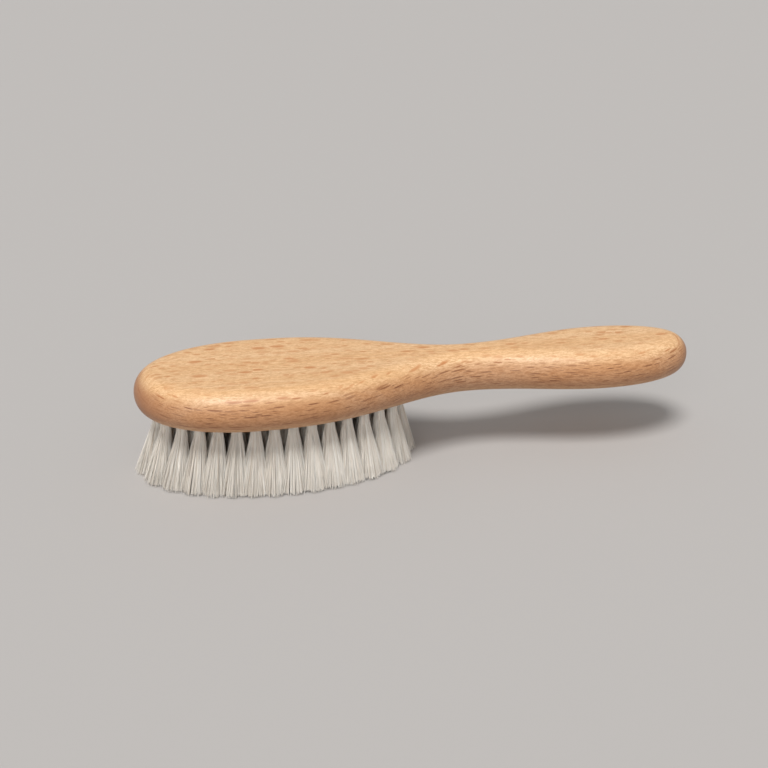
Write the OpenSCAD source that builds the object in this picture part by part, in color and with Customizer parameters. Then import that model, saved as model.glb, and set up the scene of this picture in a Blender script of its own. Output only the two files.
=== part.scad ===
// Soft clothes brush: a one-piece beech body with three rows of goat-hair tufts.
// Each tuft is folded over a flat wire anchor, which is driven to the bottom of a blind bore.
// Millimetres, +Z up. The brush stands on its hair tips at z = 0. +X runs towards the end of
// the grip, and the origin is under the middle of the body's length and width.

/* [Wooden body] */
// Length from the head's tip to the end of the grip
body_length = 170; // [160:1:185]
// Thickness of the board that the body is cut from
body_thickness = 13; // [12:0.1:15]
// Width of the rounding that runs all round the upper and lower edges
edge_rounding = 6.8; // [5:0.1:7]
// Fullness of the rounding: 2 is a quarter ellipse, more is squarer
edge_fullness = 2.1; // [2:0.05:2.6]
// Greatest width of the head
head_width = 46.6; // [44:0.1:52]
// Distance from the head's tip to its widest point
head_middle = 35.5; // [34:0.5:42]
// Fullness of the head's rounded end: 2 is an ellipse
head_fullness = 2.1; // [2:0.05:2.5]
// Width of the neck at its narrowest
neck_width = 16.2; // [15:0.1:20]
// Distance from the head's tip to the narrowest point
neck_middle = 99.5; // [96:0.5:104]
// How far the head's width is held before it falls to the neck: 1 is even
neck_shoulder = 1.32; // [1:0.01:1.4]
// Greatest width of the grip
grip_width = 28.1; // [25:0.1:32]
// Distance from the head's tip to the grip's widest point
grip_middle = 142; // [138:0.5:148]
// Fullness of the grip's rounded end: 2 is an ellipse
grip_fullness = 2.1; // [2:0.05:2.5]

/* [Tufts] */
// Height of the wood above the surface that the hair tips stand on
hair_height = 19.5; // [17:0.1:24]
// Diameter of the bores that hold the tufts
bore_d = 2.9; // [2.8:0.1:3.4]
// Depth of the bores
bore_depth = 8; // [7:0.5:9]
// Diameter of a tuft at its tip
tip_d = 5.6; // [4.5:0.1:5.9]
// Distance from the head's tip to the middle of the tufted field
field_middle = 42; // [41:0.5:44]
// Half length of the outer row of tufts
outer_row_x = 36; // [34:0.5:37]
// Half width of the outer row of tufts
outer_row_y = 13.2; // [12.5:0.1:14]
// Number of tufts in the outer row
outer_count = 30; // [26:2:30]
// Half length of the middle row of tufts
middle_row_x = 29.8; // [28:0.1:30]
// Half width of the middle row of tufts
middle_row_y = 6.8; // [6.5:0.1:7.2]
// Number of tufts in the middle row
middle_count = 20; // [16:2:20]
// Half length of the straight centre row of tufts
centre_row_x = 18; // [15:0.5:19]
// Number of tufts in the centre row
centre_count = 7; // [5:2:7]
// How much longer the field is at the hair tips than at the bores
spread_x = 1.055; // [1:0.001:1.06]
// How much wider the field is at the hair tips than at the bores
spread_y = 1.447; // [1.3:0.001:1.5]
// How far the field at the hair tips lies towards the head's tip
tip_shift = 1; // [0:0.1:1]

/* [Wire anchors] */
// Length of an anchor, which is a little more than the bore so that its ends grip the wood
anchor_length = 3.3; // [3.2:0.05:3.8]
// Thickness of the flat wire
anchor_thickness = 0.3; // [0.2:0.05:0.5]
// Height of the flat wire, along the bore
anchor_height = 1.5; // [1:0.1:2]
// Room above the anchor for the fold of the hair
fold_height = 0.8; // [0.5:0.1:1.2]

/* [Hidden] */
// Stations along one side of the outline, and steps round the edge's rounding
side_steps = 96;
edge_steps = 12;
// Height of the straight skirt below the underside, which one flat cut takes away
skirt = 2;
// Radial play of a tuft in its bore, and of an anchor in its slot
play = 0.04;
// Straight length of a tuft below the wood, before it flares
straight_below = 1;
cut_over = 1;
point_total = 2 * side_steps;
tuft_r = bore_d / 2 - play;

function numbered(name, i) = str(name, "_", i < 10 ? "0" : "", i);

// ---- outline of the body ----

// Quarter of a superellipse: 0 at u = 0 and 1 at u = 1
function round_end(u, fullness) = pow(max(0, 1 - pow(1 - u, fullness)), 1 / fullness);

// Smooth step from 0 at u = 0 to 1 at u = 1, level at both ends
function smooth_step(u) = (1 - cos(180 * u)) / 2;

// Half width of the outline at a distance s from the head's tip
function half_width(s) =
    s <= head_middle ? head_width / 2 * round_end(s / head_middle, head_fullness)
    : s <= neck_middle
    ? let (fall = smooth_step(pow((s - head_middle) / (neck_middle - head_middle), neck_shoulder)))
        (head_width - fall * (head_width - neck_width)) / 2
    : s <= grip_middle
    ? let (rise = smooth_step((s - neck_middle) / (grip_middle - neck_middle)))
        (neck_width + rise * (grip_width - neck_width)) / 2
    : grip_width / 2 * round_end((body_length - s) / (body_length - grip_middle), grip_fullness);

// Stations lie closer together at the two ends, where the outline turns
function station(k) = body_length / 2 * (1 - cos(180 * k / side_steps));

// Outline point i of point_total, round from the head's tip along -Y and back along +Y
function outline_point(i) =
    let (k = i <= side_steps ? i : point_total - i, y = half_width(station(k)))
    [station(k) - body_length / 2, i <= side_steps ? -y : y];

outline = [for (i = [0 : point_total - 1]) outline_point(i)];

function outward(i) =
    let (
        before = outline[(i + point_total - 1) % point_total],
        after = outline[(i + 1) % point_total],
        along = after - before
    )
    [along[1], -along[0]] / norm(along);

// ---- rounded edge ----

// The outline drawn in by a share of the rounding, at a height z
function loop(inset, z) = [
    for (i = [0 : point_total - 1])
        let (p = outline[i] - outward(i) * edge_rounding * inset) [p[0], p[1], z]
];

function edge_loop(angle) =
    let (
        out = pow(cos(angle), 2 / edge_fullness),
        rise = sign(angle) * pow(abs(sin(angle)), 2 / edge_fullness)
    )
    loop(1 - out, hair_height + body_thickness / 2 * (1 + rise));

loops = concat(
    [loop(1, hair_height - skirt)],
    [for (k = [0 : edge_steps]) edge_loop(-90 + 180 * k / edge_steps)]
);

module rounded_board() {
    last = (len(loops) - 1) * point_total;
    polyhedron(
        points = [for (one = loops) each one],
        faces = concat(
            [[for (i = [0 : point_total - 1]) i]],
            [
                for (k = [0 : len(loops) - 2], i = [0 : point_total - 1])
                    let (j = (i + 1) % point_total, low = k * point_total, high = low + point_total)
                    each [[low + i, high + i, high + j], [low + i, high + j, low + j]]
            ],
            [[for (i = [point_total - 1 : -1 : 0]) last + i]]
        ),
        convexity = 4
    );
}

// ---- places of the tufts ----

// Table of [arc length, angle] once round an ellipse
function arc_table(a, b, steps = 180) = [
    for (
        i = 0, arc = 0;
        i <= steps;
        i = i + 1,
        arc = arc + norm([
            a * (cos(360 * i / steps) - cos(360 * (i - 1) / steps)),
            b * (sin(360 * i / steps) - sin(360 * (i - 1) / steps))
        ])
    ) [arc, 360 * i / steps]
];

// Evenly spaced places round an ellipse, from its +X end
function ellipse_row(a, b, count) =
    let (table = arc_table(a, b), round_length = table[len(table) - 1][0])
    [for (k = [0 : count - 1]) let (t = lookup(round_length * k / count, table)) [a * cos(t), b * sin(t)]];

outer_row = ellipse_row(outer_row_x, outer_row_y, outer_count);
middle_row = ellipse_row(middle_row_x, middle_row_y, middle_count);
centre_row = [
    for (k = [0 : centre_count - 1]) [centre_row_x * (1 - 2 * k / (centre_count - 1)), 0]
];
all_rows = concat(outer_row, middle_row, centre_row);

// The way up a tuft, from the middle of its tip to the mouth of its bore
function up_tuft(place) = [
    place[0] * (1 - spread_x) + tip_shift,
    place[1] * (1 - spread_y),
    hair_height
];

// Puts its child on the mouth of a bore, with +Z up the bore and X kept along the brush
module at_bore(place) {
    up = up_tuft(place);
    bearing = atan2(up[1], up[0]);
    translate([field_middle - body_length / 2, 0, 0])
        translate([place[0], place[1], hair_height])
            rotate(bearing) rotate([0, acos(up[2] / norm(up)), 0]) rotate(-bearing)
                children();
}

// The flat wire in its place in the bore, larger all round by gap
module anchor(gap = 0) {
    translate([0, 0, bore_depth - fold_height - anchor_height / 2])
        cube([anchor_thickness, anchor_length, anchor_height] + 2 * gap * [1, 1, 1], center = true);
}

// A tuft: its straight part in the bore, and the hair flaring down to the surface
module tuft(place) {
    hair = norm(up_tuft(place));
    flare = (tip_d / 2 - tuft_r) / (hair - straight_below);
    end_z = -hair - cut_over;
    color("antiquewhite")
        difference() {
            at_bore(place)
                difference() {
                    rotate_extrude($fn = 48)
                        polygon([
                            [0, end_z], [tip_d / 2 + flare * cut_over, end_z], [tuft_r, -straight_below],
                            [tuft_r, bore_depth - play], [0, bore_depth - play]
                        ]);
                    anchor(play);
                }
            translate([-body_length, -body_length, -body_thickness])
                cube([2 * body_length, 2 * body_length, body_thickness]);
        }
}

// ---- sub-parts ----

module wooden_body() {
    color("burlywood")
        difference() {
            difference() {
                rounded_board();
                translate([-body_length, -body_length, -cut_over])
                    cube([2 * body_length, 2 * body_length, hair_height + cut_over]);
            }
            for (place = all_rows)
                at_bore(place) {
                    translate([0, 0, -cut_over]) cylinder(d = bore_d, h = bore_depth + cut_over, $fn = 48);
                    anchor(play);
                }
        }
}

module wire_anchors() {
    color("silver")
        for (place = all_rows) at_bore(place) anchor();
}

module outer_tuft(i) { tuft(outer_row[i - 1]); }
module middle_tuft(i) { tuft(middle_row[i - 1]); }
module centre_tuft(i) { tuft(centre_row[i - 1]); }

wooden_body();
wire_anchors();
for (i = [1 : outer_count]) outer_tuft(i);
for (i = [1 : middle_count]) middle_tuft(i);
for (i = [1 : centre_count]) centre_tuft(i);
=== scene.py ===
# Soft clothes brush: a one-piece beech body and 57 tufts of pale goat hair, standing on its hair.
# Every length is in metres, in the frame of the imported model; mm turns millimetres into metres.

import math

import bmesh
import bpy
from mathutils import Matrix, Vector


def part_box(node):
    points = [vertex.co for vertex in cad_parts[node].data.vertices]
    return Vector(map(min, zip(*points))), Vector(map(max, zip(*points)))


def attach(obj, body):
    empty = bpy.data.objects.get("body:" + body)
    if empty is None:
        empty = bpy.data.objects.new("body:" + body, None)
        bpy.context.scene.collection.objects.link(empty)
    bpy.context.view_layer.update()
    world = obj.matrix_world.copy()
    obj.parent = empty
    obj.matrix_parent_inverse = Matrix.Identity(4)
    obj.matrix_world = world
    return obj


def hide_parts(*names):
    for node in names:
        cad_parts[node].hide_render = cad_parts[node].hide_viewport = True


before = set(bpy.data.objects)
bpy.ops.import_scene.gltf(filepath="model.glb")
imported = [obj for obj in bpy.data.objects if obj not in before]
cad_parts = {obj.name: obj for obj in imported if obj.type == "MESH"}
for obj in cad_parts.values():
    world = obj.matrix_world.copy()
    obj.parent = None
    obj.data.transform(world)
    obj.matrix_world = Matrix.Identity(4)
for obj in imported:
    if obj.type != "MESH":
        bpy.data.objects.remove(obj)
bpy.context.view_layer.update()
mm = 0.001


# ---- Wooden body ----
# One board of beech, 13 mm thick: an oval head, a waisted neck and a rounded grip in one piece.
# Both edges are moulded to a full rounding, then sanded and oiled. The underside of the head is
# drilled with a blind bore for every tuft.

board_low, board_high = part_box("wooden_body")
body_length = board_high.x - board_low.x
board_thickness = board_high.z - board_low.z
underside = board_low.z
head_width = board_high.y - board_low.y
head_middle, head_fullness = 35.5 * mm, 2.1
neck_width, neck_middle, neck_shoulder = 16.2 * mm, 99.5 * mm, 1.32
grip_width, grip_middle, grip_fullness = 28.1 * mm, 142 * mm, 2.1
edge_rounding, edge_fullness = 6.8 * mm, 2.1
stations, edge_steps, cap_strips = 240, 40, 8


def round_end(share, fullness):
    return max(0.0, 1 - (1 - share) ** fullness) ** (1 / fullness)


def smooth_step(share):
    return (1 - math.cos(math.pi * share)) / 2


def half_width(s):
    """Half width of the body at a distance s from the head's tip."""
    if s <= head_middle:
        return head_width / 2 * round_end(s / head_middle, head_fullness)
    if s <= neck_middle:
        share = (s - head_middle) / (neck_middle - head_middle)
        return (head_width - smooth_step(share**neck_shoulder) * (head_width - neck_width)) / 2
    if s <= grip_middle:
        share = (s - neck_middle) / (grip_middle - neck_middle)
        return (neck_width + smooth_step(share) * (grip_width - neck_width)) / 2
    share = (body_length - s) / (body_length - grip_middle)
    return grip_width / 2 * round_end(share, grip_fullness)


def outline_point(i):
    """Point i of the outline, from the head's tip along -Y to the grip's end and back along +Y."""
    k = min(i, 2 * stations - i)
    s = body_length / 2 * (1 - math.cos(math.pi * k / stations))
    side = -1 if i <= stations else 1
    return Vector((board_low.x + s, side * half_width(s)))


outline = [outline_point(i) for i in range(2 * stations)]
outward = []
for i in range(2 * stations):
    along = outline[(i + 1) % (2 * stations)] - outline[i - 1]
    outward.append(Vector((along.y, -along.x)).normalized())

board = bmesh.new()
edge_loops = []
for k in range(edge_steps + 1):
    turn = math.pi * (k / edge_steps - 0.5)
    out = max(0.0, math.cos(turn)) ** (2 / edge_fullness)
    rise = math.copysign(abs(math.sin(turn)) ** (2 / edge_fullness), turn)
    z = underside + board_thickness / 2 * (1 + rise)
    edge_loops.append(
        [
            board.verts.new((*(p - o * edge_rounding * (1 - out)), z))
            for p, o in zip(outline, outward)
        ]
    )
for lower, upper in zip(edge_loops, edge_loops[1:]):
    for i in range(2 * stations):
        j = (i + 1) % (2 * stations)
        board.faces.new((lower[i], lower[j], upper[j], upper[i]))


def close_flat(loop, facing_up):
    """Closes a flat loop with strips that run across it from one side to the other."""
    rows = []
    for k in range(1, stations):
        near, far = loop[k], loop[2 * stations - k]
        inner = [
            board.verts.new(near.co.lerp(far.co, n / cap_strips)) for n in range(1, cap_strips)
        ]
        rows.append([near, *inner, far])
    faces = []
    for row, following in zip(rows, rows[1:]):
        for n in range(cap_strips):
            faces.append((row[n], following[n], following[n + 1], row[n + 1]))
    for n in range(cap_strips):
        faces.append((loop[0], rows[0][n], rows[0][n + 1]))
        faces.append((loop[stations], rows[-1][n + 1], rows[-1][n]))
    for face in faces:
        board.faces.new(face if facing_up else face[::-1])


close_flat(edge_loops[-1], facing_up=True)
close_flat(edge_loops[0], facing_up=False)
body_mesh = bpy.data.meshes.new("beech_body")
board.to_mesh(body_mesh)
board.free()
beech_body = bpy.data.objects.new("beech_body", body_mesh)
bpy.context.collection.objects.link(beech_body)

# The bores are drilled along the axis of each tuft, which runs from the middle of its tip to its
# middle just below the wood.
bore_radius, bore_depth, drill_over, drill_sides = 1.45 * mm, 8 * mm, 1 * mm, 40
near_floor, near_wood = 0.5 * mm, 3 * mm


def middle_of(points):
    return Vector([(min(c) + max(c)) / 2 for c in zip(*points)])


tuft_axes = {}
for name in sorted(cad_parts):
    if "_tuft_" in name:
        corners = [v.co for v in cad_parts[name].data.vertices]
        on_floor = middle_of([c for c in corners if c.z < near_floor])
        below_wood = middle_of([c for c in corners if underside - near_wood < c.z < underside])
        along = (below_wood - on_floor) / (below_wood.z - on_floor.z)
        tuft_axes[name] = (on_floor + along * (underside - on_floor.z), on_floor)


def node_tree_for(name, inputs, with_geometry=False):
    """A new geometry tree with named inputs, its group input and group output."""
    tree = bpy.data.node_groups.new(name, "GeometryNodeTree")
    if with_geometry:
        tree.interface.new_socket("Geometry", in_out="INPUT", socket_type="NodeSocketGeometry")
    for label, kind in inputs.items():
        tree.interface.new_socket(label, in_out="INPUT", socket_type="NodeSocket" + kind)
    tree.interface.new_socket("Geometry", in_out="OUTPUT", socket_type="NodeSocketGeometry")
    return tree, tree.nodes.new("NodeGroupInput"), tree.nodes.new("NodeGroupOutput")


def add_node(tree, kind, settings=None, **links):
    """Adds a node. A link is given by the input's identifier, and is a socket or a constant."""
    made = tree.nodes.new(kind)
    for key, value in (settings or {}).items():
        setattr(made, key, value)
    for key, value in links.items():
        socket = next(s for s in made.inputs if s.identifier == key)
        if isinstance(value, bpy.types.NodeSocket):
            tree.links.new(value, socket)
        else:
            socket.default_value = value
    return made


def math_node(tree, operation, *values):
    links = dict(zip(("Value", "Value_001", "Value_002"), values))
    return add_node(tree, "ShaderNodeMath", {"operation": operation}, **links).outputs[0]


def vector_node(tree, operation, *values, scale=None):
    links = dict(zip(("Vector", "Vector_001", "Vector_002"), values))
    if scale is not None:
        links["Scale"] = scale
    made = add_node(tree, "ShaderNodeVectorMath", {"operation": operation}, **links)
    return made.outputs["Value" if operation in ("LENGTH", "DOT_PRODUCT") else "Vector"]


def made_by_tree(name, tree, values, mesh=None):
    """A plain mesh object made by a geometry tree with these values for its named inputs."""
    maker = bpy.data.objects.new(name + "_maker", mesh or bpy.data.meshes.new(name + "_maker"))
    bpy.context.collection.objects.link(maker)
    modifier = maker.modifiers.new("maker", "NODES")
    modifier.node_group = tree
    for item in tree.interface.items_tree:
        if item.in_out == "INPUT" and item.name in values:
            modifier[item.identifier] = values[item.name]
    evaluated = maker.evaluated_get(bpy.context.evaluated_depsgraph_get())
    plain = bpy.data.meshes.new_from_object(evaluated)
    maker.modifiers.clear()
    bpy.data.objects.remove(maker)
    made = bpy.data.objects.new(name, plain)
    made.data.name = name
    bpy.context.collection.objects.link(made)
    return made


oiled_beech = bpy.data.materials.new("oiled_beech")

drilling, given, result = node_tree_for(
    "bores_in_the_head",
    {
        "Bore radius": "Float",
        "Bore depth": "Float",
        "Run-out": "Float",
        "Sides": "Int",
        "Wood": "Material",
    },
    with_geometry=True,
)
given = given.outputs
drill_length = math_node(drilling, "ADD", given["Bore depth"], given["Run-out"])
drill = add_node(
    drilling,
    "GeometryNodeMeshCylinder",
    Vertices=given["Sides"],
    Radius=given["Bore radius"],
    Depth=drill_length,
)
half_way = math_node(drilling, "SUBTRACT", given["Bore depth"], given["Run-out"])
half_way = math_node(drilling, "MULTIPLY", half_way, 0.5)
drill = add_node(
    drilling,
    "GeometryNodeTransform",
    Geometry=drill.outputs["Mesh"],
    Translation=add_node(drilling, "ShaderNodeCombineXYZ", Z=half_way).outputs[0],
)
up_the_bore = add_node(
    drilling, "GeometryNodeInputNamedAttribute", {"data_type": "FLOAT_VECTOR"}, Name="up_the_bore"
)
aim = add_node(
    drilling,
    "FunctionNodeAlignRotationToVector",
    {"axis": "Z"},
    Vector=up_the_bore.outputs["Attribute"],
)
bores = add_node(
    drilling,
    "GeometryNodeInstanceOnPoints",
    Points=given["Geometry"],
    Instance=drill.outputs["Geometry"],
    Rotation=aim.outputs["Rotation"],
)
bores = add_node(drilling, "GeometryNodeRealizeInstances", Geometry=bores.outputs[0])
bores = add_node(
    drilling, "GeometryNodeSetMaterial", Geometry=bores.outputs[0], Material=given["Wood"]
)
drilling.links.new(bores.outputs[0], result.inputs[0])

bore_mouths = bpy.data.meshes.new("bore_mouths")
bore_mouths.from_pydata([root for root, tip in tuft_axes.values()], [], [])
axis_attribute = bore_mouths.attributes.new("up_the_bore", "FLOAT_VECTOR", "POINT")
for entry, (root, tip) in zip(axis_attribute.data, tuft_axes.values()):
    entry.vector = (root - tip).normalized()
bores = made_by_tree(
    "bores",
    drilling,
    {
        "Bore radius": bore_radius,
        "Bore depth": bore_depth,
        "Run-out": drill_over,
        "Sides": drill_sides,
        "Wood": oiled_beech,
    },
    bore_mouths,
)
body_mesh.materials.append(oiled_beech)
drilled = beech_body.modifiers.new("drilled", "BOOLEAN")
drilled.operation, drilled.solver, drilled.object = "DIFFERENCE", "EXACT", bores
plain = bpy.data.meshes.new_from_object(
    beech_body.evaluated_get(bpy.context.evaluated_depsgraph_get())
)
beech_body.modifiers.clear()
beech_body.data = plain
bpy.data.objects.remove(bores)
plain.name = "beech_body"
plain.shade_smooth()
plain.set_sharp_from_angle(angle=math.radians(35))

# Oiled beech. Pale orange-tan wood with fine lengthwise grain, faint growth bands, and the rays
# that mark beech: thin sheets of darker wood, which show as short dashes on the sides and as
# reddish flecks on the flat top. The cut ends drink more oil and are darker.
oiled_beech.use_nodes = True
beech = oiled_beech.node_tree
beech.nodes.clear()


def wood_noise(space, per_mm, detail, roughness, output="Fac"):
    """Noise with this many features to a millimetre along and across the grain."""
    return add_node(
        beech,
        "ShaderNodeTexNoise",
        Vector=vector_node(beech, "MULTIPLY", space, per_mm),
        Scale=1.0,
        Detail=detail,
        Roughness=roughness,
    ).outputs[output]


def smooth_range(value, start, end, low=0.0, high=1.0):
    """Smooth step from low, where value is start, to high, where it is end."""
    return add_node(
        beech,
        "ShaderNodeMapRange",
        {"interpolation_type": "SMOOTHSTEP"},
        Value=value,
        **{"From Min": start, "From Max": end, "To Min": low, "To Max": high},
    ).outputs[0]


def spread(value, low, high):
    """Stretches the middle of a noise, from low to high, to 0 to 1."""
    return add_node(
        beech, "ShaderNodeMapRange", Value=value, **{"From Min": low, "From Max": high}
    ).outputs[0]


# The grain's own space, in millimetres: X runs along the grain and the ray sheets lie flat in it.
on_the_wood = add_node(beech, "ShaderNodeTexCoord").outputs
ray_tilt = math.radians(15)
along_grain = add_node(
    beech,
    "ShaderNodeMapping",
    Vector=on_the_wood["Object"],
    Rotation=(-ray_tilt, math.radians(1.0), math.radians(1.5)),
    Scale=(1 / mm, 1 / mm, 1 / mm),
).outputs[0]
wander = wood_noise(along_grain, (0.02, 0.05, 0.05), detail=2.0, roughness=0.5, output="Color")
wander = vector_node(beech, "SUBTRACT", wander, (0.5, 0.5, 0.5))
grain_space = vector_node(
    beech, "ADD", along_grain, vector_node(beech, "MULTIPLY", wander, (0.0, 3.0, 2.4))
)
fine_grain = wood_noise(grain_space, (0.4, 2.2, 2.2), detail=4.0, roughness=0.65)
pores = wood_noise(grain_space, (1.3, 4.5, 4.5), detail=2.0, roughness=0.6)
growth_bands = wood_noise(grain_space, (0.004, 0.42, 0.05), detail=2.0, roughness=0.5)
broad_tone = wood_noise(grain_space, (0.02, 0.06, 0.06), detail=1.0, roughness=0.5)


def rays(cell, half_size, offset, softness):
    """Mask of thin ray sheets with ragged edges, one to a cell, in the grain's own space."""
    in_cells = vector_node(beech, "DIVIDE", vector_node(beech, "ADD", grain_space, offset), cell)
    nearest = add_node(beech, "ShaderNodeTexVoronoi", Vector=in_cells, Scale=1.0, Randomness=1.0)
    away = vector_node(beech, "SUBTRACT", in_cells, nearest.outputs["Position"])
    away = vector_node(beech, "MULTIPLY", away, [c / h for c, h in zip(cell, half_size)])
    chance = add_node(beech, "ShaderNodeSeparateColor", Color=nearest.outputs["Color"]).outputs
    size = math_node(beech, "MULTIPLY_ADD", chance[0], 0.7, 0.45)
    distance = math_node(beech, "DIVIDE", vector_node(beech, "LENGTH", away), size)
    ragged = math_node(beech, "SUBTRACT", fine_grain, 0.5)
    distance = math_node(beech, "MULTIPLY_ADD", ragged, 1.6, distance)
    shape = smooth_range(distance, 1.0, 1.0 - softness)
    strength = math_node(beech, "MULTIPLY_ADD", chance[1], 0.6, 0.4)
    return math_node(beech, "MULTIPLY", shape, strength)


long_rays = rays((4.8, 8.0, 0.95), (2.7, 4.0, 0.25), (3.0, 5.0, 0.4), 0.5)
short_rays = rays((3.2, 6.0, 0.8), (1.6, 3.0, 0.17), (11.0, 2.0, 7.3), 0.6)
ray_mask = math_node(
    beech, "MAXIMUM", long_rays, math_node(beech, "MULTIPLY", short_rays, 0.8)
)

# A sheet fades out where the surface lies along it, so that it leaves no wide blot.
across_the_sheets = (0, -math.sin(ray_tilt), math.cos(ray_tilt))
along_a_sheet = vector_node(beech, "DOT_PRODUCT", on_the_wood["Normal"], across_the_sheets)
sheet_shows = smooth_range(along_a_sheet, 0.995, 0.965, low=0.15)
ray_mask = math_node(beech, "MULTIPLY", ray_mask, sheet_shows)


def mixed_colour(factor, first, second, blend="MIX"):
    made = add_node(
        beech,
        "ShaderNodeMix",
        {"data_type": "RGBA", "blend_type": blend},
        Factor_Float=factor,
        A_Color=first,
        B_Color=second,
    )
    return made.outputs[2]


# The side and lower edge tints are painted shade, not stain in the wood. They deepen the shade
# there more than the lamps below do, and stay dark when the brush is turned over.
pale_wood, warm_wood = (0.98, 0.665, 0.385, 1), (0.90, 0.55, 0.275, 1)
grain_line, pore, broad_patch = (0.55, 0.27, 0.10, 1), (0.50, 0.23, 0.08, 1), (0.70, 0.41, 0.19, 1)
flat_ray, edge_ray = (0.60, 0.25, 0.09, 1), (0.20, 0.066, 0.024, 1)
painted_side_shade, painted_bottom_edge_shade = (0.73, 0.61, 0.57, 1), (0.73, 0.69, 0.70, 1)
end_colour = (0.36, 0.15, 0.065, 1)
facing = add_node(beech, "ShaderNodeSeparateXYZ", Vector=on_the_wood["Normal"]).outputs
# How far the surface faces sideways: it sets where the sides get painted shade, and which colour
# the rays take there.
side_shade_and_ray_facing = math_node(beech, "SUBTRACT", 1.0, math_node(beech, "POWER", facing["Z"], 2.0))
side_shade_and_ray_facing = smooth_range(side_shade_and_ray_facing, 0.3, 1.0)
# Painted shade on the lower rounding, darkest where the surface faces down.
bottom_edge_shade_mask = smooth_range(facing["Z"], 0.3, -0.6)
end_grain = smooth_range(math_node(beech, "ABSOLUTE", facing["X"]), 0.35, 0.95, high=0.8)

colour = mixed_colour(spread(growth_bands, 0.3, 0.7), pale_wood, warm_wood)
for noise, low, high, share, tone in (
    (fine_grain, 0.42, 0.66, 0.7, grain_line),
    (pores, 0.45, 0.7, 0.5, pore),
    (broad_tone, 0.4, 0.7, 0.25, broad_patch),
):
    factor = math_node(beech, "MULTIPLY", spread(noise, low, high), share)
    colour = mixed_colour(factor, colour, tone)
# Painted shade on the sides.
colour = mixed_colour(side_shade_and_ray_facing, colour, painted_side_shade, "MULTIPLY")
# Painted shade on the lower edge.
colour = mixed_colour(bottom_edge_shade_mask, colour, painted_bottom_edge_shade, "MULTIPLY")
colour = mixed_colour(ray_mask, colour, mixed_colour(side_shade_and_ray_facing, flat_ray, edge_ray))
colour = mixed_colour(end_grain, colour, end_colour)

oil_roughness, grain_roughness = 0.35, 0.16
ray_sinking, grain_relief = -0.35, 0.08 * mm
roughness = math_node(beech, "MULTIPLY_ADD", fine_grain, grain_roughness, oil_roughness)
relief = math_node(beech, "MULTIPLY_ADD", ray_mask, ray_sinking, fine_grain)
bump = add_node(beech, "ShaderNodeBump", Strength=0.25, Distance=grain_relief, Height=relief)
surface = add_node(
    beech,
    "ShaderNodeBsdfPrincipled",
    **{"Base Color": colour, "Roughness": roughness, "Normal": bump.outputs[0]},
)
surface.inputs["IOR"].default_value = 1.5
beech.links.new(
    surface.outputs[0], add_node(beech, "ShaderNodeOutputMaterial").inputs["Surface"]
)
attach(beech_body, "root")
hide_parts("wooden_body")


# ---- Wire anchors ----
# A short piece of flat steel wire over the fold of every tuft, driven to the bottom of its bore.
# Drawn wire: bright, with fine lines along its length.

anchor_steel = bpy.data.materials.new("drawn_anchor_wire")
anchor_steel.use_nodes = True
steel = anchor_steel.node_tree
steel.nodes.clear()
in_steel = add_node(steel, "ShaderNodeTexCoord").outputs["Object"]
in_steel = vector_node(steel, "MULTIPLY", in_steel, (9000, 500, 9000))
draw_lines = add_node(
    steel, "ShaderNodeTexNoise", Vector=in_steel, Scale=1.0, Detail=3.0
).outputs["Fac"]
steel_tone = add_node(
    steel,
    "ShaderNodeMix",
    {"data_type": "RGBA"},
    Factor_Float=draw_lines,
    A_Color=(0.50, 0.50, 0.49, 1),
    B_Color=(0.66, 0.66, 0.65, 1),
).outputs[2]
steel_surface = add_node(
    steel,
    "ShaderNodeBsdfPrincipled",
    **{
        "Base Color": steel_tone,
        "Metallic": 1.0,
        "Roughness": math_node(steel, "MULTIPLY_ADD", draw_lines, 0.2, 0.25),
        "Normal": add_node(
            steel, "ShaderNodeBump", Strength=0.3, Distance=0.00002, Height=draw_lines
        ).outputs[0],
    },
)
steel.links.new(
    steel_surface.outputs[0], add_node(steel, "ShaderNodeOutputMaterial").inputs["Surface"]
)
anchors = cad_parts["wire_anchors"]
anchors.data.materials.clear()
anchors.data.materials.append(anchor_steel)


# ---- Tufts ----
# Each tuft is a bundle of several hundred pale goat hairs, folded in two and drawn into its bore.
# Below the wood the hairs splay into a cone and gather in small locks, and their natural tips are
# a little uneven where they touch the surface that the brush stands on.

goat_hair = bpy.data.materials.new("goat_hair")

tufting, given, result = node_tree_for(
    "tuft_of_hair",
    {
        "Root": "Vector",
        "Tip": "Vector",
        "Hairs": "Int",
        "Seed": "Int",
        "Root radius": "Float",
        "Tip radius": "Float",
        "Depth in bore": "Float",
        "Hair radius": "Float",
        "Lock size": "Float",
        "Gathering": "Float",
        "Unevenness": "Float",
        "Hair": "Material",
    },
)
given = given.outputs
hair_steps, most_bow = 4, 0.16 * mm
straight_hair = add_node(
    tufting, "GeometryNodeCurvePrimitiveLine", Start=(0, 0, 0), End=(0, 0, 1)
)
straight_hair = add_node(
    tufting, "GeometryNodeResampleCurve", Curve=straight_hair.outputs[0], Count=hair_steps + 1
)
hair_starts = add_node(tufting, "GeometryNodePoints", Count=given["Hairs"])
hairs = add_node(
    tufting,
    "GeometryNodeInstanceOnPoints",
    Points=hair_starts.outputs[0],
    Instance=straight_hair.outputs[0],
)
hairs = add_node(tufting, "GeometryNodeRealizeInstances", Geometry=hairs.outputs[0])
which_hair = add_node(tufting, "GeometryNodeCurveOfPoint").outputs["Curve Index"]
down_hair = add_node(tufting, "GeometryNodeSplineParameter").outputs["Factor"]
draws = 0


def drawn(low, high):
    """A random number for each hair."""
    global draws
    draws += 1
    seed = math_node(tufting, "ADD", given["Seed"], 100 * draws)
    return add_node(
        tufting,
        "FunctionNodeRandomValue",
        {"data_type": "FLOAT"},
        Min_001=low,
        Max_001=high,
        ID=which_hair,
        Seed=seed,
    ).outputs[1]


def tuft_math(operation, *values):
    return math_node(tufting, operation, *values)


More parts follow.
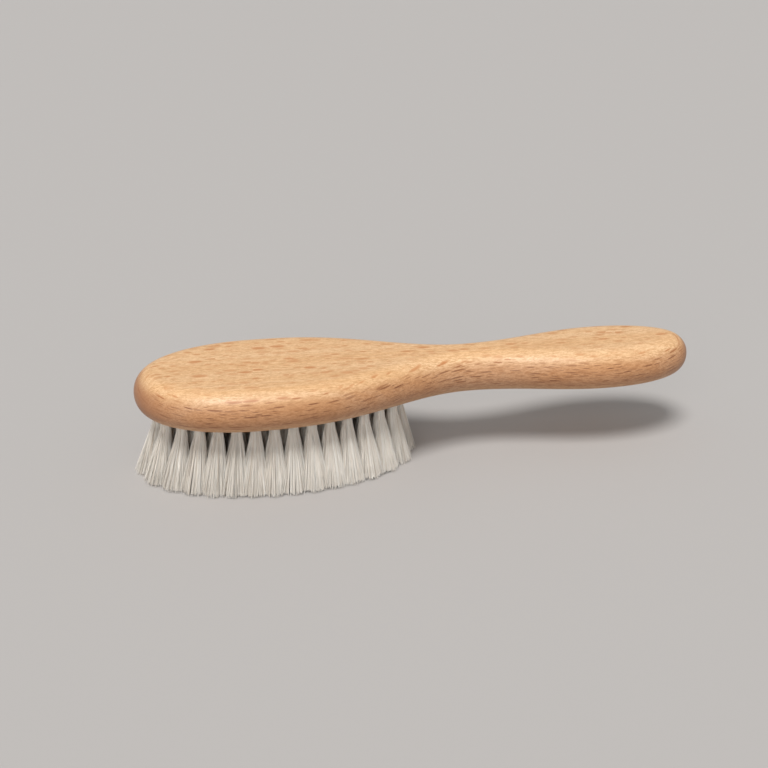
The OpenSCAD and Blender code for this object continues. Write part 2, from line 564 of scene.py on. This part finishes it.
def tuft_vector(operation, *values, scale=None):
    return vector_node(tufting, operation, *values, scale=scale)


def flat_vector(x, y, z=0.0):
    return add_node(tufting, "ShaderNodeCombineXYZ", X=x, Y=y, Z=z).outputs[0]


# Place of the hair in the round bundle, from the middle (0) to the outside (1), a little looser
# at the tip
looseness = 0.18
bearing = drawn(0.0, 2 * math.pi)
from_middle = tuft_math("SQRT", drawn(0.0, 1.0))
in_bundle = flat_vector(
    tuft_math("MULTIPLY", tuft_math("COSINE", bearing), from_middle),
    tuft_math("MULTIPLY", tuft_math("SINE", bearing), from_middle),
)
at_root = tuft_vector("SCALE", in_bundle, scale=given["Root radius"])
loose = flat_vector(drawn(-looseness, looseness), drawn(-looseness, looseness))
at_tip = tuft_vector("ADD", in_bundle, loose)
at_tip = tuft_vector("SCALE", at_tip, scale=given["Tip radius"])

# Locks: each hair leans towards the middle of the lock that its tip is in, and some locks and
# hairs end a little above the others
lock_space = tuft_vector("DIVIDE", at_tip, flat_vector(*[given["Lock size"]] * 3))
lock_space = tuft_vector(
    "ADD", lock_space, flat_vector(given["Seed"], tuft_math("MULTIPLY", given["Seed"], 3.7))
)
lock = add_node(
    tufting, "ShaderNodeTexVoronoi", {"voronoi_dimensions": "2D"}, Vector=lock_space, Scale=1.0
)
to_lock = tuft_vector("SUBTRACT", lock.outputs["Position"], lock_space)
to_lock = tuft_vector("SCALE", to_lock, scale=given["Lock size"])
hold = tuft_math("MULTIPLY", given["Gathering"], drawn(0.35, 1.1))
at_tip = tuft_vector("ADD", at_tip, tuft_vector("SCALE", to_lock, scale=hold))
lock_colour = add_node(tufting, "FunctionNodeSeparateColor", Color=lock.outputs["Color"]).outputs
short_lock = tuft_math("MULTIPLY", lock_colour[0], 0.5)
shortfall = tuft_math("ADD", short_lock, tuft_math("POWER", drawn(0.0, 1.0), 2.5))
shortfall = tuft_math("MULTIPLY", shortfall, given["Unevenness"])

# The hair's line: straight out of the bore, then splaying, with a slight bow of its own
in_bore = tuft_vector("NORMALIZE", tuft_vector("SUBTRACT", given["Root"], given["Tip"]))
start = tuft_vector("SCALE", in_bore, scale=given["Depth in bore"])
start = tuft_vector("ADD", tuft_vector("ADD", given["Root"], start), at_root)
finish = tuft_vector("ADD", tuft_vector("ADD", given["Tip"], at_tip), flat_vector(0, 0, shortfall))
splay = tuft_math("MULTIPLY_ADD", down_hair, 1.25, -0.25)
splay = tuft_math("SMOOTH_MAX", splay, 0.0, 0.1)
level = tuft_vector("MULTIPLY", tuft_vector("SUBTRACT", finish, start), (0, 0, 1))
aside = tuft_vector("MULTIPLY", tuft_vector("SUBTRACT", finish, start), (1, 1, 0))
place = tuft_vector("ADD", start, tuft_vector("SCALE", level, scale=down_hair))
place = tuft_vector("ADD", place, tuft_vector("SCALE", aside, scale=splay))
bow = tuft_math("SINE", tuft_math("MULTIPLY", down_hair, math.pi))
bow = tuft_math("MULTIPLY", bow, most_bow)
bow = tuft_vector("SCALE", flat_vector(drawn(-1.0, 1.0), drawn(-1.0, 1.0)), scale=bow)
place = tuft_vector("ADD", place, bow)
hairs = add_node(
    tufting, "GeometryNodeSetPosition", Geometry=hairs.outputs[0], Position=place
)
hairs = add_node(
    tufting,
    "GeometryNodeStoreNamedAttribute",
    {"data_type": "FLOAT", "domain": "POINT"},
    Geometry=hairs.outputs[0],
    Name="hair_shade",
    Value=drawn(0.0, 1.0),
)
taper = tuft_math("MULTIPLY_ADD", tuft_math("POWER", down_hair, 3.0), -0.45, 1.0)
round_hair = add_node(
    tufting, "GeometryNodeCurvePrimitiveCircle", Resolution=3, Radius=given["Hair radius"]
)
hairs = add_node(
    tufting,
    "GeometryNodeCurveToMesh",
    **{
        "Curve": hairs.outputs[0],
        "Profile Curve": round_hair.outputs[0],
        "Scale": taper,
        "Fill Caps": True,
    },
)
hairs = add_node(tufting, "GeometryNodeSetShadeSmooth", Geometry=hairs.outputs[0])
hairs = add_node(tufting, "GeometryNodeRealizeInstances", Geometry=hairs.outputs[0])
hairs = add_node(
    tufting, "GeometryNodeSetMaterial", Geometry=hairs.outputs[0], Material=given["Hair"]
)
tufting.links.new(hairs.outputs[0], result.inputs[0])

# Paler than real hair, to make up for light that passes through real hair and not through this.
goat_hair.use_nodes = True
hair = goat_hair.node_tree
hair.nodes.clear()
hair_shade = add_node(hair, "ShaderNodeAttribute", {"attribute_name": "hair_shade"}).outputs["Fac"]
hair_ramp = add_node(hair, "ShaderNodeValToRGB", Fac=hair_shade)
hair_tones = [
    (0.0, (0.78, 0.68, 0.57, 1)),
    (0.12, (0.92, 0.85, 0.76, 1)),
    (0.6, (0.98, 0.93, 0.85, 1)),
    (1.0, (0.995, 0.97, 0.915, 1)),
]
while len(hair_ramp.color_ramp.elements) < len(hair_tones):
    hair_ramp.color_ramp.elements.new(0.5)
for element, (position, tone) in zip(hair_ramp.color_ramp.elements, hair_tones):
    element.position, element.color = position, tone
hair_surface = add_node(
    hair,
    "ShaderNodeBsdfPrincipled",
    **{"Base Color": hair_ramp.outputs["Color"], "Roughness": 0.5},
)
hair.links.new(
    hair_surface.outputs[0], add_node(hair, "ShaderNodeOutputMaterial").inputs["Surface"]
)

hair_counts = {"outer": 1450, "middle": 750, "centre": 700}
tip_radii = {"outer": 4.2 * mm, "middle": 4.7 * mm, "centre": 5.0 * mm}
for number, (name, (root, tip)) in enumerate(tuft_axes.items(), start=1):
    row = name.split("_")[0]
    tuft = made_by_tree(
        name.replace("tuft", "hair"),
        tufting,
        {
            "Root": root,
            "Tip": tip,
            "Hairs": hair_counts[row],
            "Seed": number,
            "Root radius": 1.3 * mm,
            "Tip radius": tip_radii[row],
            "Depth in bore": 1.5 * mm,
            "Hair radius": 0.073 * mm,
            "Lock size": 0.9 * mm,
            "Gathering": 0.35,
            "Unevenness": 0.9 * mm,
            "Hair": goat_hair,
        },
    )
    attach(tuft, "root")
    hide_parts(name)


# ---- Floor, light and camera ----
# A plain pale floor under a large soft lamp, with a weaker one low in front. The brush is seen
# from its near side.

floor_corners = [(-4, -4, 0), (4, -4, 0), (4, 8, 0), (-4, 8, 0)]
floor_mesh = bpy.data.meshes.new("floor")
floor_mesh.from_pydata(floor_corners, [], [(0, 1, 2, 3)])
floor = bpy.data.objects.new("floor", floor_mesh)
bpy.context.collection.objects.link(floor)
floor_paint = bpy.data.materials.new("floor_paint")
floor_paint.use_nodes = True
floor_surface = floor_paint.node_tree.nodes["Principled BSDF"]
floor_surface.inputs["Base Color"].default_value = (0.50, 0.475, 0.455, 1)
floor_surface.inputs["Roughness"].default_value = 0.85
floor_mesh.materials.append(floor_paint)


def far_softbox(name, place, width, strength):
    """Soft light from far off in the direction of place. width is how wide it looks, in degrees."""
    data = bpy.data.lights.new(name, "SUN")
    data.angle, data.energy = math.radians(width), strength
    lamp = bpy.data.objects.new(name, data)
    bpy.context.collection.objects.link(lamp)
    facing = Vector(place).to_track_quat("Z", "Y").to_matrix().to_4x4()
    lamp.matrix_world = Matrix.Translation(place) @ facing


far_softbox("overhead_softbox", (-0.36, -0.76, 2.0), width=21, strength=2.2)
far_softbox("front_softbox", (-0.7, -1.5, 0.7), width=42, strength=0.69)

world = bpy.data.worlds.new("room")
bpy.context.scene.world = world
world.use_nodes = True
room = world.node_tree.nodes["Background"]
room.inputs["Color"].default_value = (0.97, 0.985, 1.0, 1)
room.inputs["Strength"].default_value = 0.34

camera_azimuth, camera_elevation = math.radians(-10.68), math.radians(25.0)
camera_distance, camera_aside, camera_above = 374.0 * mm, -10.79 * mm, 19.51 * mm
back = Vector(
    (
        math.sin(camera_azimuth) * math.cos(camera_elevation),
        -math.cos(camera_azimuth) * math.cos(camera_elevation),
        math.sin(camera_elevation),
    )
)
right = Vector((math.cos(camera_azimuth), math.sin(camera_azimuth), 0))
up = back.cross(right)
camera_data = bpy.data.cameras.new("camera")
camera_data.lens, camera_data.sensor_width = 56.25, 36
camera_data.clip_start = 0.01
camera = bpy.data.objects.new("camera", camera_data)
bpy.context.collection.objects.link(camera)
camera.matrix_world = Matrix.Translation(
    back * camera_distance + right * camera_aside + up * camera_above
) @ Matrix((right, up, back)).transposed().to_4x4()
bpy.context.scene.camera = camera
bpy.context.scene.view_settings.view_transform = "Standard"

bpy.context.view_layer.update()
